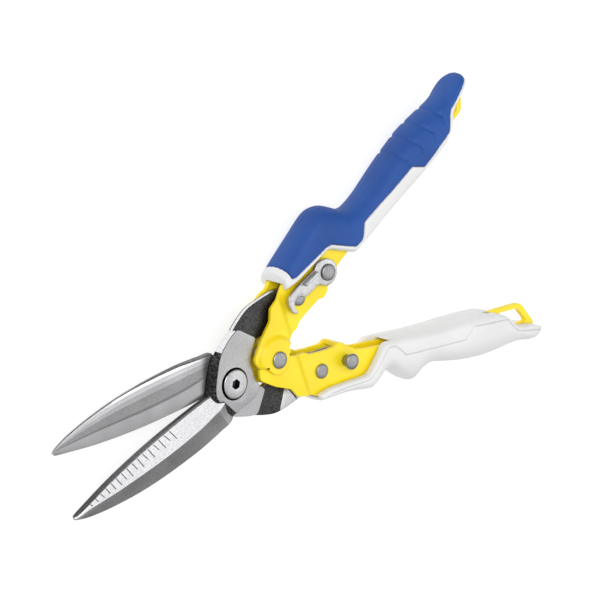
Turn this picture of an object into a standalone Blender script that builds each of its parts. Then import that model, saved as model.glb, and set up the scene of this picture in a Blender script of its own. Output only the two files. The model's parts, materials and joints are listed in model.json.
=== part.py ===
"""Compound-action metal shear: long-cut aviation snips, shown with the handles fully open.

Design axes, in millimetres: the origin is the blade pivot axis at the plane where the two
blades slide on each other, +X runs toward the handles, +Y toward the upper handle and +Z
toward the latch side.  Every piece is placed LIFT higher, so the flat end of the pivot
screw on the underside is the row-frame origin.
"""
import math

import bmesh
import bpy
from mathutils import Matrix, Vector

# ---- driving dimensions, millimetres and degrees ----
MM = 0.001
LIFT = 9.0
LINK_RADIUS = 45.07
LINK_ANGLE = 22.3
PIVOT_Q = (21.5, 0.0)
PIVOT_P = (LINK_RADIUS * math.cos(math.radians(LINK_ANGLE)), LINK_RADIUS * math.sin(math.radians(LINK_ANGLE)))
LATCH_L = (57.0, 21.4)
STUD_S = (54.9, -19.3)
HOOK_REACH = 18.0
HOOK_ANGLE = 196.7
GAP = 0.3

BLADE_TOP = 4.4
BLADE_LEAN = 1.6
TANG_TOP = 3.1
SHEAR_GAP = 0.15
PAD_RADIUS = 6.5
SCREW_HEAD_R = 6.15
SCREW_SHANK_R = 3.9
SCREW_HEAD_TOP = 5.3
SCREW_SEAT = 2.6
WASHER_R = 7.4
NUT_ACROSS_FLATS = 11.0

REAR_IN = 3.4
SHEET = 1.75
FRONT_STEP = 1.3
JOGGLE_X = (31.0, 34.0)
DISC_R = 6.9
EYE_R = 6.0
EYE_BOTTOM = 6.7
EYE_TOP = 8.3
EYE_RING_R = 9.5

RIVET_Q_R = 1.9
RIVET_Q_HEAD_R = 3.6
RIVET_P_R = 2.4
RIVET_P_HEAD_R = 3.08
RIVET_P_TOP = 6.4
OPEN_LOOP_CLEARANCE = 0.75
LATCH_BOTTOM = 6.7
LATCH_TOP = 8.4
LATCH_SHANK_R = 1.9
LATCH_HEAD_R = 3.5
STUD_R = 2.45
STUD_HEAD_R = 3.3
COIL_R = 4.2
WIRE_R = 0.7
SPRING_TURNS = 3.4222
GRIP_SLOT = REAR_IN + SHEET + GAP
COVER_SKIN = 1.7
LOOP_HALF = 1.4

# ---- outlines, millimetres, upper handle side; the lower handle is the same turned over ----
BLADE_STATIONS = (
    # x, cutting edge y, top of edge wall y, ridge y, outer edge y, edge wall z, ridge z, outer wall z
    (-3.0, -4.8, -4.8, -5.4, -14.6, 2.2, 4.3, 1.1),
    (-5.4, 0.3, 0.3, -4.6, -16.2, 2.2, 4.3, 1.1),
    (-10.0, 0.3, 0.2, -6.6, -16.9, 2.2, 4.3, 1.2),
    (-14.0, 0.2, 0.1, -7.6, -17.7, 2.2, 4.3, 1.2),
    (-23.5, -0.6, -0.7, -9.7, -19.2, 2.1, 4.3, 1.2),
    (-40.0, -2.5, -2.8, -11.8, -20.6, 2.1, 4.2, 1.1),
    (-55.0, -4.9, -5.4, -12.9, -20.9, 2.1, 4.0, 1.1),
    (-70.0, -8.0, -8.8, -13.6, -20.0, 2.1, 3.7, 1.0),
    (-82.0, -11.2, -12.2, -13.9, -18.3, 2.1, 3.1, 1.0),
    (-89.0, -13.2, -14.1, -14.7, -16.4, 1.7, 2.2, 0.9),
    (-90.8, -13.9, -14.3, -14.7, -15.5, 1.3, 1.6, 0.8),
)
BOSS_TOP = (
    (-10.3, -0.5), (-9.2, 3.0), (-7.5, 6.2), (-5.7, 9.3), (-3.9, 12.4), (-1.4, 15.1),
    (1.4, 17.0), (5.2, 19.0), (9.1, 20.3), (10.5, 19.3), (16.7, 12.4), (11.9, 6.8),
    (10.3, 3.6), (10.6, 0.3), (10.2, -2.9), (11.5, -6.8), (10.6, -9.1), (8.5, -10.4),
    (4.6, -11.0), (-1.2, -11.3), (-3.4, -12.0), (-7.7, -3.9), (-9.4, -3.6),
)
BOSS_FOOT = (
    (-13.4, -0.4), (-11.6, 2.4), (-9.8, 5.9), (-7.6, 9.4), (-5.0, 12.7), (-1.6, 15.4),
    (1.4, 17.0), (5.2, 19.0), (9.1, 20.3), (10.5, 19.3), (16.7, 12.4), (11.9, 6.8),
    (10.3, 3.6), (10.6, 0.3), (10.2, -2.9), (11.5, -6.8), (10.6, -9.1), (8.5, -10.4),
    (4.6, -11.0), (-1.2, -11.3), (-3.8, -15.0), (-10.6, -7.6), (-12.6, -4.2),
)
TANG_OUTER = ((5.2, 17.6), (9.6, 21.0), (17.4, 24.5), (24.8, 25.1), (34.1, 24.6), (38.6, 22.9))
TANG_INNER = ((35.2, 10.9), (24.0, 10.4), (16.0, 11.2), (9.0, 10.0))
FLANGE_FRONT = (
    (12.2, 0.15), (11.4, 3.4), (11.7, 5.1), (17.5, 10.8), (24.4, 15.8), (26.4, 20.5),
    (28.6, 21.5), (31.0, 22.6), (34.0, 24.1),
)
CHANNEL_OUTER = (
    (36.5, 26.3), (42.0, 27.0), (53.0, 29.3), (61.0, 31.2), (70.0, 30.6), (76.0, 31.2),
    (84.0, 33.2), (92.0, 36.0), (100.0, 38.9), (116.0, 44.2), (131.0, 48.3),
)
CHANNEL_INNER = (
    (131.0, 41.7), (116.0, 36.9), (97.4, 31.5), (80.0, 25.3), (72.0, 22.3), (65.3, 19.8),
    (61.7, 18.0), (57.0, 13.7), (56.5, 12.1), (53.4, 10.5), (51.4, 11.4), (43.7, 9.3),
    (38.6, 7.6), (37.1, 5.9), (32.4, 4.6), (30.1, 3.4),
)
STOP_TAB = ((53.4, 10.62), (56.35, 12.15), (55.7, 13.5), (52.7, 11.9))
INNER_PATH = (
    (35.6, 24.6), (41.8, 24.8), (47.0, 25.9), (53.0, 27.3), (58.0, 28.6), (61.5, 29.0),
    (65.0, 27.0), (69.0, 24.4), (73.5, 21.6), (78.0, 22.7), (84.0, 24.7), (91.0, 27.3),
    (97.4, 29.5), (105.0, 31.8), (112.0, 33.7), (120.0, 36.1), (127.0, 38.3), (132.0, 40.3),
    (136.3, 44.0), (138.7, 49.0), (142.5, 52.0), (147.2, 54.0), (150.8, 56.2),
)
UPPER_PATH = (
    (36.8, 30.6), (42.6, 34.6), (48.2, 37.8), (54.3, 41.1), (59.7, 44.0), (64.0, 45.5),
    (68.4, 44.7), (72.4, 42.0), (76.0, 39.0), (80.5, 37.6), (84.8, 38.0), (90.6, 39.8),
    (96.9, 42.7), (104.4, 46.5), (111.9, 49.8), (120.3, 53.1), (128.7, 54.9), (136.2, 56.2),
    (141.7, 57.5), (146.1, 59.3), (149.6, 61.0), (152.6, 61.0), (153.9, 59.6),
)
LOWER_PATH = (
    (36.8, 28.9), (42.0, 30.5), (47.0, 31.6), (53.0, 33.6), (58.6, 36.0), (62.8, 37.5),
    (67.0, 36.4), (71.0, 34.6), (75.5, 35.4), (79.0, 41.2), (84.5, 46.0), (90.0, 44.0),
    (95.8, 44.0), (103.2, 47.7), (110.8, 51.3), (119.2, 54.4), (127.8, 56.4), (135.8, 57.7),
    (141.3, 59.1), (146.0, 61.1), (149.6, 61.9), (152.6, 61.0), (153.9, 59.2),
)
GRIP_HALF = (
    8.3, 8.4, 8.5, 8.6, 8.7, 8.8, 9.0, 9.0, 9.0, 9.0, 9.1, 9.3,
    9.6, 9.8, 9.8, 9.7, 9.4, 9.0, 8.6, 8.2, 7.6, 6.6, 5.4,
)
GRIP_SECTION = (
    (0.00, 0.80), (0.05, 0.93), (0.14, 1.00), (0.45, 1.00),
    (0.65, 0.93), (0.82, 0.76), (0.94, 0.48), (1.00, 0.16),
)
PARTING = (
    (39.2, 48.0), (39.5, 27.7), (41.8, 27.2), (53.0, 29.6), (60.0, 31.3), (63.0, 31.0),
    (71.4, 25.6), (74.3, 23.9), (78.0, 24.9), (81.6, 31.2), (111.6, 40.8), (117.5, 37.6),
    (135.0, 44.2), (137.4, 49.6), (139.0, 52.0), (146.3, 55.9), (158.0, 62.0),
)
SLOT_FLOOR = ((131.9, 41.4), (116.0, 36.3), (97.4, 30.9), (79.4, 24.5), (77.0, 5.0), (30.0, 5.0))
LOOP_OUTLINE = (
    (132.6, 40.6), (146.5, 44.6), (148.2, 45.4), (149.1, 46.8), (152.0, 55.4), (151.6, 56.8),
    (150.4, 57.4), (144.0, 56.0), (136.0, 52.0), (133.0, 49.0),
)
LOOP_HOLE = ((136.6, 43.4), (146.4, 46.6), (148.9, 53.8), (144.5, 53.2), (139.4, 49.8))
LATCH_OUTLINE = (
    (62.2, 20.7), (61.2, 18.0), (58.6, 16.1), (55.7, 15.8), (53.4, 17.1), (51.0, 19.1),
    (48.3, 18.3), (45.2, 17.6),
)
LATCH_FAR = (
    (36.4, 13.2), (34.9, 14.3), (34.0, 18.1), (34.4, 19.9), (35.7, 21.4), (39.7, 23.0),
    (43.7, 24.0), (51.7, 25.6), (53.0, 27.0), (55.1, 27.6), (58.1, 27.1), (59.9, 26.1), (61.7, 24.0),
)


# ---- helpers ----
def clear_scene():
    for item in list(bpy.data.objects):
        bpy.data.objects.remove(item, do_unlink=True)


def material(name, colour, metallic, roughness):
    made = bpy.data.materials.new(name)
    made.use_nodes = True
    shader = made.node_tree.nodes["Principled BSDF"]
    shader.inputs["Base Color"].default_value = (*colour, 1.0)
    shader.inputs["Metallic"].default_value = metallic
    shader.inputs["Roughness"].default_value = roughness
    made.diffuse_color = (*colour, 1.0)
    return made


def place(name, shape, made_of=None, origin=(0.0, 0.0), turned=False):
    """Turn a bmesh in design millimetres into an object whose origin is on its joint axis."""
    if turned:
        bmesh.ops.transform(shape, matrix=Matrix.Rotation(math.pi, 4, "X"), verts=shape.verts)
        origin = (origin[0], -origin[1])
    bmesh.ops.translate(shape, vec=(-origin[0], -origin[1], 0.0), verts=shape.verts)
    bmesh.ops.scale(shape, vec=(MM, MM, MM), verts=shape.verts)
    bmesh.ops.recalc_face_normals(shape, faces=shape.faces)
    mesh = bpy.data.meshes.new(name)
    shape.to_mesh(mesh)
    shape.free()
    made = bpy.data.objects.new(name, mesh)
    made.location = (origin[0] * MM, origin[1] * MM, LIFT * MM)
    bpy.context.scene.collection.objects.link(made)
    if made_of is not None:
        mesh.materials.append(made_of)
    return made


def combine(target, tool, operation):
    """Add a Boolean step and hide the tool body."""
    step = target.modifiers.new(operation.lower(), "BOOLEAN")
    step.operation = operation
    step.solver = "EXACT"
    step.object = tool
    tool.hide_render = True
    tool.display_type = "WIRE"
    return target


def prism(outline, bottom, top):
    """A flat plate with the given outline between two heights."""
    shape = bmesh.new()
    low = [shape.verts.new((x, y, bottom)) for x, y in outline]
    high = [shape.verts.new((x, y, top)) for x, y in outline]
    count = len(outline)
    shape.faces.new(low)
    shape.faces.new(high)
    for index in range(count):
        after = (index + 1) % count
        shape.faces.new((low[index], low[after], high[after], high[index]))
    bmesh.ops.triangulate(shape, faces=[face for face in shape.faces if len(face.verts) > 4])
    return shape


def turned_profile(profile, centre, sides=24):
    """A body of revolution about a Z axis; profile runs from bottom to top as (radius, z)."""
    shape = bmesh.new()
    rings = []
    for radius, height in profile:
        ring = []
        for index in range(sides):
            turn = 2.0 * math.pi * index / sides
            place_x = centre[0] + radius * math.cos(turn)
            place_y = centre[1] + radius * math.sin(turn)
            ring.append(shape.verts.new((place_x, place_y, height)))
        rings.append(ring)
    for low, high in zip(rings, rings[1:]):
        for index in range(sides):
            after = (index + 1) % sides
            shape.faces.new((low[index], low[after], high[after], high[index]))
    shape.faces.new(rings[0])
    shape.faces.new(rings[-1])
    return shape


def ring_body(inner, outer, bottom, top, centre, sides=24):
    """A plain washer or sleeve."""
    shape = bmesh.new()
    corners = ((inner, bottom), (outer, bottom), (outer, top), (inner, top))
    rings = []
    for radius, height in corners:
        ring = []
        for index in range(sides):
            turn = 2.0 * math.pi * index / sides
            place_x = centre[0] + radius * math.cos(turn)
            place_y = centre[1] + radius * math.sin(turn)
            ring.append(shape.verts.new((place_x, place_y, height)))
        rings.append(ring)
    for which in range(4):
        low = rings[which]
        high = rings[(which + 1) % 4]
        for index in range(sides):
            after = (index + 1) % sides
            shape.faces.new((low[index], low[after], high[after], high[index]))
    return shape


def loft(rings):
    """Close a body through a row of rings with equal point counts."""
    shape = bmesh.new()
    made = [[shape.verts.new(point) for point in ring] for ring in rings]
    count = len(made[0])
    for low, high in zip(made, made[1:]):
        for index in range(count):
            after = (index + 1) % count
            shape.faces.new((low[index], low[after], high[after], high[index]))
    shape.faces.new(made[0])
    shape.faces.new(made[-1])
    bmesh.ops.triangulate(shape, faces=[face for face in shape.faces if len(face.verts) > 4])
    return shape


def arc(centre, radius, start, end, steps):
    points = []
    for index in range(steps + 1):
        turn = math.radians(start + (end - start) * index / steps)
        points.append((centre[0] + radius * math.cos(turn), centre[1] + radius * math.sin(turn)))
    return points


def offset_line(points, distance):
    """Move an open line sideways; a positive distance moves it to the left of its direction."""
    moved = []
    for index, point in enumerate(points):
        before = Vector(points[max(index - 1, 0)])
        after = Vector(points[min(index + 1, len(points) - 1)])
        along = (after - before).normalized()
        moved.append((point[0] - along.y * distance, point[1] + along.x * distance))
    return moved


def bore(target, centre, radius, bottom, top, sides=24):
    """Cut a round hole."""
    tool = turned_profile(((radius, bottom), (radius, top)), centre, sides)
    return combine(target, place(target.name + "_bore", tool), "DIFFERENCE")


# ---- blades ----
def blade_working_part(lean):
    """The ground part of a blade, leaned a little about the pivot."""
    rings = []
    for x, edge_y, wall_y, ridge_y, outer_y, edge_z, ridge_z, outer_z in BLADE_STATIONS:
        land_y = wall_y + (ridge_y - wall_y) * 0.12
        rings.append((
            (x, edge_y, SHEAR_GAP), (x, wall_y, edge_z), (x, land_y, edge_z + 0.15),
            (x, ridge_y, ridge_z), (x, outer_y, outer_z), (x, outer_y, SHEAR_GAP),
        ))
    shape = loft(rings)
    bmesh.ops.transform(shape, matrix=Matrix.Rotation(math.radians(lean), 4, "Z"), verts=shape.verts)
    return shape


def build_blade(name, steel, turned, pivot_seat, link_hole):
    """One forged blade: working part, boss round the pivot and the tang out to its link."""
    origin = (0.0, 0.0)
    lean = BLADE_LEAN if turned else -BLADE_LEAN
    blade = place(name, blade_working_part(lean), steel, origin, turned)
    foot = [(x, y, SHEAR_GAP) for x, y in BOSS_FOOT]
    top = [(x, y, BLADE_TOP) for x, y in BOSS_TOP]
    boss = place(name + "_boss", loft((foot, top)), None, origin, turned)
    combine(blade, boss, "UNION")
    tang_end = arc(PIVOT_P, PAD_RADIUS, 118.0, -108.0, 16)
    outline = list(TANG_OUTER) + tang_end + list(TANG_INNER)
    tang = place(name + "_tang", prism(outline, SHEAR_GAP, TANG_TOP), None, origin, turned)
    combine(blade, tang, "UNION")
    pad = turned_profile(((PAD_RADIUS - 0.6, -TANG_TOP), (PAD_RADIUS - 0.6, 1.5)), PIVOT_P)
    combine(blade, place(name + "_pad", pad, None, origin, turned), "UNION")
    side = -1.0 if turned else 1.0
    centre = (PIVOT_P[0], side * PIVOT_P[1])
    bore(blade, centre, link_hole, -6.0, 6.0)
    bore(blade, (0.0, 0.0), SCREW_SHANK_R + GAP, -8.0, 8.0)
    if pivot_seat:
        bore(blade, (0.0, 0.0), SCREW_HEAD_R + 0.35, SCREW_SEAT - GAP, 8.0)
    return blade


# ---- pivot screw, washer and nut ----
def build_pivot(dark_steel, zinc):
    screw_shape = turned_profile((
        (SCREW_SHANK_R - 0.5, -LIFT), (SCREW_SHANK_R, -LIFT + 0.5), (SCREW_SHANK_R, SCREW_SEAT),
        (SCREW_HEAD_R, SCREW_SEAT), (SCREW_HEAD_R, SCREW_HEAD_TOP - 0.5),
        (SCREW_HEAD_R - 0.5, SCREW_HEAD_TOP),
    ), (0.0, 0.0), 40)
    screw = place("pivot_screw", screw_shape, dark_steel)
    socket = turned_profile(((2.02, 2.9), (2.02, 8.0)), (0.0, 0.0), 6)
    combine(screw, place("pivot_screw_socket", socket), "DIFFERENCE")
    bottom = -BLADE_TOP - GAP
    washer = ring_body(SCREW_SHANK_R + GAP, WASHER_R, bottom - 0.8, bottom, (0.0, 0.0), 40)
    place("pivot_washer", washer, zinc)
    corner = NUT_ACROSS_FLATS / math.sqrt(3.0)
    nut_shape = turned_profile(((corner, -8.3), (corner, bottom - 0.8 - GAP)), (0.0, 0.0), 6)
    nut = place("pivot_nut", nut_shape, dark_steel)
    bore(nut, (0.0, 0.0), SCREW_SHANK_R + GAP, -12.0, 0.0)


# ---- folded sheet handle channels ----
def flange_plate(flat_eye):
    """One flange on the latch side, joggled outward near the eye, with or without a flat eye."""
    outline = list(FLANGE_FRONT) + list(CHANNEL_OUTER) + list(CHANNEL_INNER)
    if flat_eye:
        outline += arc(PIVOT_Q, DISC_R, 16.0, -177.0, 30)
    else:
        outline += [(28.5, 2.6), (26.5, 2.0)]
    shape = prism(outline, REAR_IN, REAR_IN + SHEET)
    for line in JOGGLE_X:
        whole = list(shape.verts) + list(shape.edges) + list(shape.faces)
        bmesh.ops.bisect_plane(shape, geom=whole, dist=1e-6, plane_co=(line, 0.0, 0.0), plane_no=(1.0, 0.0, 0.0))
    for vert in shape.verts:
        share = (JOGGLE_X[1] - vert.co.x) / (JOGGLE_X[1] - JOGGLE_X[0])
        vert.co.z += FRONT_STEP * min(max(share, 0.0), 1.0)
    return shape


def turn_over(shape):
    """Mirror a body through the shear plane."""
    bmesh.ops.transform(shape, matrix=Matrix.Scale(-1.0, 4, (0.0, 0.0, 1.0)), verts=shape.verts)
    bmesh.ops.reverse_faces(shape, faces=shape.faces)
    return shape


def build_channel(name, paint, turned, extra_holes):
    """Two flanges, the web inside the grip, a raised eye on one flange, a flat eye on the other."""
    origin = PIVOT_P if not turned else PIVOT_Q
    front_level = REAR_IN + FRONT_STEP
    channel = place(name, flange_plate(False), paint, origin, turned)
    clearance = turned_profile(((DISC_R + GAP, 3.0), (DISC_R + GAP, 9.5)), PIVOT_Q, 40)
    combine(channel, place(name + "_eye_clearance", clearance, None, origin, turned), "DIFFERENCE")
    back = place(name + "_back_flange", turn_over(flange_plate(True)), None, origin, turned)
    combine(channel, back, "UNION")
    along = list(CHANNEL_OUTER)[1:]
    web_outline = offset_line(along, -0.15) + offset_line(along, -1.65)[::-1]
    web = place(name + "_web", prism(web_outline, -REAR_IN - 0.8, REAR_IN + 0.8), None, origin, turned)
    combine(channel, web, "UNION")
    tab = place(name + "_stop_tab", prism(STOP_TAB, -REAR_IN - 0.8, REAR_IN + 0.8), None, origin, turned)
    combine(channel, tab, "UNION")
    ring_outline = arc(PIVOT_Q, EYE_RING_R - 0.1, 20.0, 178.0, 20)
    ring_outline += arc(PIVOT_Q, DISC_R + GAP + 0.1, 178.0, 20.0, 16)
    ring = prism(ring_outline, front_level + 0.2, EYE_TOP - 0.2)
    combine(channel, place(name + "_eye_ring", ring, None, origin, turned), "UNION")
    eye_outline = arc(PIVOT_Q, EYE_RING_R, 19.5, 178.5, 20) + arc(PIVOT_Q, EYE_R, 200.0, 358.0, 18)
    eye = prism(eye_outline, EYE_BOTTOM, EYE_TOP)
    combine(channel, place(name + "_raised_eye", eye, None, origin, turned), "UNION")
    side = -1.0 if turned else 1.0
    bore(channel, PIVOT_Q, RIVET_Q_R + GAP, -12.0, 12.0)
    bore(channel, (PIVOT_P[0], side * PIVOT_P[1]), RIVET_P_R + GAP, -12.0, 12.0)
    for centre, radius in extra_holes:
        bore(channel, centre, radius, 1.0, 12.0)
    return channel


# ---- rivets, sleeve and spring ----
def domed_rivet(name, metal, centre, shank, head, seat, top):
    """A rivet with the same low domed head at both ends."""
    profile = []
    for side in (-1.0, 1.0):
        points = [(head * 0.62, side * top), (head * 0.9, side * (top - 0.3)), (head, side * (seat + 0.2)),
                  (head, side * seat), (shank, side * seat)]
        profile += points if side < 0 else points[::-1]
    return place(name, turned_profile(profile, centre), metal, centre)


def build_rivets(metal, spring_steel):
    domed_rivet("handle_rivet", metal, PIVOT_Q, RIVET_Q_R, RIVET_Q_HEAD_R, EYE_TOP + GAP, 9.6)
    seat = REAR_IN + SHEET + GAP
    lower = (PIVOT_P[0], -PIVOT_P[1])
    domed_rivet("upper_link_rivet", metal, PIVOT_P, RIVET_P_R, RIVET_P_HEAD_R, seat, RIVET_P_TOP)
    domed_rivet("lower_link_rivet", metal, lower, RIVET_P_R, RIVET_P_HEAD_R, seat, RIVET_P_TOP)
    sleeve = ring_body(RIVET_Q_R + GAP, COIL_R - WIRE_R - GAP, -4.3, 4.3, PIVOT_Q, 24)
    place("spring_sleeve", sleeve, spring_steel, PIVOT_Q)


def spring_path():
    """Centre line: lower-handle leg, four coils round the sleeve, upper-handle leg."""
    points = []
    wound = math.radians(360.0 * SPRING_TURNS)
    rise = 4.6
    steps = 56
    leg_z = rise / 2.0
    begin = math.radians(104.0)
    tangent = Vector((math.sin(begin), -math.cos(begin)))
    first = Vector((PIVOT_Q[0] + COIL_R * math.cos(begin), COIL_R * math.sin(begin)))
    for step in (30.0, 20.0, 10.0):
        end = first + tangent * step
        points.append((end.x, end.y, -leg_z))
    for index in range(steps + 1):
        share = index / steps
        turn = begin + wound * share
        height = -leg_z + rise * share
        points.append((PIVOT_Q[0] + COIL_R * math.cos(turn), COIL_R * math.sin(turn), height))
    finish = begin + wound
    last = Vector((points[-1][0], points[-1][1]))
    leave = Vector((-math.sin(finish), math.cos(finish)))
    for step in (10.0, 20.0, 30.0):
        end = last + leave * step
        points.append((end.x, end.y, leg_z))
    return points


def build_spring(spring_steel):
    """Torsion spring between the two channels."""
    path = [Vector(point) for point in spring_path()]
    rings = []
    up = Vector((0.0, 0.0, 1.0))
    for index, point in enumerate(path):
        before = path[max(index - 1, 0)]
        after = path[min(index + 1, len(path) - 1)]
        along = (after - before).normalized()
        across = along.cross(up).normalized()
        over = across.cross(along).normalized()
        ring = []
        for side in range(8):
            turn = 2.0 * math.pi * side / 8
            ring.append(point + across * WIRE_R * math.cos(turn) + over * WIRE_R * math.sin(turn))
        rings.append(ring)
    place("handle_spring", loft(rings), spring_steel, PIVOT_Q)


# ---- latch ----
def build_latch(steel, rivet_metal, spring_steel):
    turn = math.radians(HOOK_ANGLE)
    throat = (LATCH_L[0] + HOOK_REACH * math.cos(turn), LATCH_L[1] + HOOK_REACH * math.sin(turn))
    throat_arc = arc(throat, 3.0, HOOK_ANGLE - 172.0, HOOK_ANGLE - 5.0, 12)
    finger = arc(LATCH_L, HOOK_REACH + 3.0, HOOK_ANGLE + 3.0, HOOK_ANGLE + 6.0, 2)
    outline = list(LATCH_OUTLINE) + throat_arc + finger + list(LATCH_FAR)
    latch = place("latch_hook", prism(outline, LATCH_BOTTOM, LATCH_TOP), steel, LATCH_L)
    tab_outline = ((43.8, 22.2), (51.6, 23.9), (51.4, 25.3), (43.6, 23.7))
    tab = place("latch_hook_thumb_tab", prism(tab_outline, LATCH_BOTTOM + 0.4, 10.6), None, LATCH_L)
    combine(latch, tab, "UNION")
    bore(latch, LATCH_L, LATCH_SHANK_R + GAP, 4.0, 12.0)
    rivet = turned_profile((
        (2.9, 2.3), (2.9, REAR_IN - GAP), (LATCH_SHANK_R, REAR_IN - GAP), (LATCH_SHANK_R, LATCH_TOP + GAP),
        (LATCH_HEAD_R, LATCH_TOP + GAP), (LATCH_HEAD_R, 9.1), (LATCH_HEAD_R * 0.9, 9.5),
        (LATCH_HEAD_R * 0.6, 9.8),
    ), LATCH_L)
    place("latch_rivet", rivet, rivet_metal, LATCH_L)
    seat = REAR_IN + SHEET + GAP
    washer = ring_body(LATCH_SHANK_R + GAP, 4.4, seat, LATCH_BOTTOM - GAP, LATCH_L)
    place("latch_spring_washer", washer, spring_steel, LATCH_L)
    stud = turned_profile((
        (2.7, 2.3), (2.7, REAR_IN - GAP), (1.7, REAR_IN - GAP), (1.7, seat), (STUD_R, seat),
        (STUD_R, 8.7), (STUD_HEAD_R, 8.7), (STUD_HEAD_R, 9.4), (STUD_HEAD_R * 0.72, 9.9),
    ), STUD_S)
    place("latch_stud", stud, rivet_metal, STUD_S)


# ---- moulded grips ----
def grip_body(outer_path, inset):
    """The grip form between its inner and outer paths, shrunk by the inset on the outside."""
    stations = []
    count = len(outer_path)
    for index in range(count):
        inner = Vector(INNER_PATH[index])
        outer = Vector(outer_path[index])
        across = (outer - inner).normalized()
        stations.append((inner, outer - across * inset, GRIP_HALF[index] - inset * 0.95))
    if inset > 0.0:
        first, second = stations[0], stations[1]
        share = inset / (second[0] - first[0]).length
        stations[0] = tuple(a.lerp(b, share) for a, b in zip(first[:2], second[:2])) + (first[2],)
        stations = stations[:-1]
    rings = []
    for inner, outer, half in stations:
        top = []
        bottom = []
        for share, height in GRIP_SECTION:
            spot = inner.lerp(outer, share)
            top.append((spot.x, spot.y, half * height))
            bottom.append((spot.x, spot.y, -half * height))
        rings.append(top + bottom[::-1])
    return loft(rings)


def build_grip(side_name, outer_path, turned, core_plastic, cover_rubber):
    """Hard core with its slot for the channel, and the soft cover over its back."""
    origin = PIVOT_Q if turned else PIVOT_P
    name = side_name + "_grip_core"
    core = place(name, grip_body(outer_path, 0.0), core_plastic, origin, turned)
    closing = [(160.0, 75.0), (39.2, 75.0)]
    beyond = offset_line(PARTING, -GAP / 2.0) + closing
    shell = place(name + "_cover_side", prism(beyond, -15.0, 15.0), None, origin, turned)
    combine(core, shell, "DIFFERENCE")
    inner_form = place(name + "_under_cover", grip_body(outer_path, COVER_SKIN + GAP), None, origin, turned)
    combine(core, inner_form, "UNION")
    slot_outline = [(30.0, 27.2)] + offset_line(list(CHANNEL_OUTER), GAP + 0.1)
    slot_outline[-1] = (131.9, 49.0)
    slot_outline += list(SLOT_FLOOR)
    slot = place(name + "_slot", prism(slot_outline, -GRIP_SLOT, GRIP_SLOT), None, origin, turned)
    combine(core, slot, "DIFFERENCE")
    pocket_outline = ((131.0, 41.0), (133.0, 36.0), (157.0, 44.0), (157.0, 56.0), (152.4, 56.9),
                      (150.7, 58.0), (143.7, 56.6), (135.7, 52.5), (131.0, 48.7))
    pocket = place(name + "_pocket", prism(pocket_outline, -LOOP_HALF - GAP, LOOP_HALF + GAP), None, origin, turned)
    combine(core, pocket, "DIFFERENCE")
    cover = place(side_name + "_grip_cover", grip_body(outer_path, 0.0), cover_rubber, origin, turned)
    keep = offset_line(PARTING, GAP / 2.0) + closing
    wanted = place(side_name + "_cover_keep", prism(keep, -14.0, 14.0), None, origin, turned)
    combine(cover, wanted, "INTERSECT")
    cavity = place(side_name + "_cover_cavity", grip_body(outer_path, COVER_SKIN), None, origin, turned)
    combine(cover, cavity, "DIFFERENCE")


def build_hang_loop(side_name, paint, turned):
    """Flat eye at the end of a handle."""
    origin = PIVOT_Q if turned else PIVOT_P
    name = side_name + "_hang_loop"
    plate = place(name, prism(LOOP_OUTLINE, -LOOP_HALF, LOOP_HALF), paint, origin, turned)
    hole = place(name + "_hole", prism(LOOP_HOLE, -5.0, 5.0), None, origin, turned)
    combine(plate, hole, "DIFFERENCE")


def main():
    clear_scene()
    forged = material("forged_steel", (0.42, 0.43, 0.45), 1.0, 0.38)
    dark = material("dark_steel", (0.22, 0.22, 0.23), 1.0, 0.35)
    zinc = material("zinc_steel", (0.60, 0.61, 0.63), 1.0, 0.30)
    rivet = material("rivet_steel", (0.55, 0.55, 0.56), 1.0, 0.35)
    stamped = material("stamped_steel", (0.68, 0.68, 0.69), 1.0, 0.40)
    yellow = material("yellow_powder_coat", (0.95, 0.75, 0.02), 0.0, 0.40)
    white = material("white_moulding", (0.85, 0.85, 0.84), 0.0, 0.50)
    blue = material("blue_soft_grip", (0.03, 0.12, 0.45), 0.0, 0.60)
    spring = material("spring_steel", (0.35, 0.35, 0.36), 1.0, 0.30)
    build_blade("front_blade", forged, False, True, RIVET_P_R + GAP)
    build_blade("rear_blade", forged, True, False, RIVET_P_R + OPEN_LOOP_CLEARANCE)
    build_pivot(dark, zinc)
    build_channel("upper_handle_channel", yellow, False, ((LATCH_L, LATCH_SHANK_R + GAP),))
    build_channel("lower_handle_channel", yellow, True, ((STUD_S, 1.7 + GAP),))
    build_rivets(rivet, zinc)
    build_spring(spring)
    build_latch(stamped, rivet, spring)
    build_grip("upper", UPPER_PATH, False, white, blue)
    build_grip("lower", LOWER_PATH, True, white, white)
    build_hang_loop("upper", yellow, False)
    build_hang_loop("lower", yellow, True)


main()
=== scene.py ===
"""Visual model of the long-cut compound-action snips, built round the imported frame.

Lengths are millimetres in the tool's own axes, as in the frame: the origin is the blade
pivot axis at the shear plane, and LIFT is the height of that plane in the row frame.
"""
import json
import math

import bmesh
import bpy
from mathutils import Matrix, Vector


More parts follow.
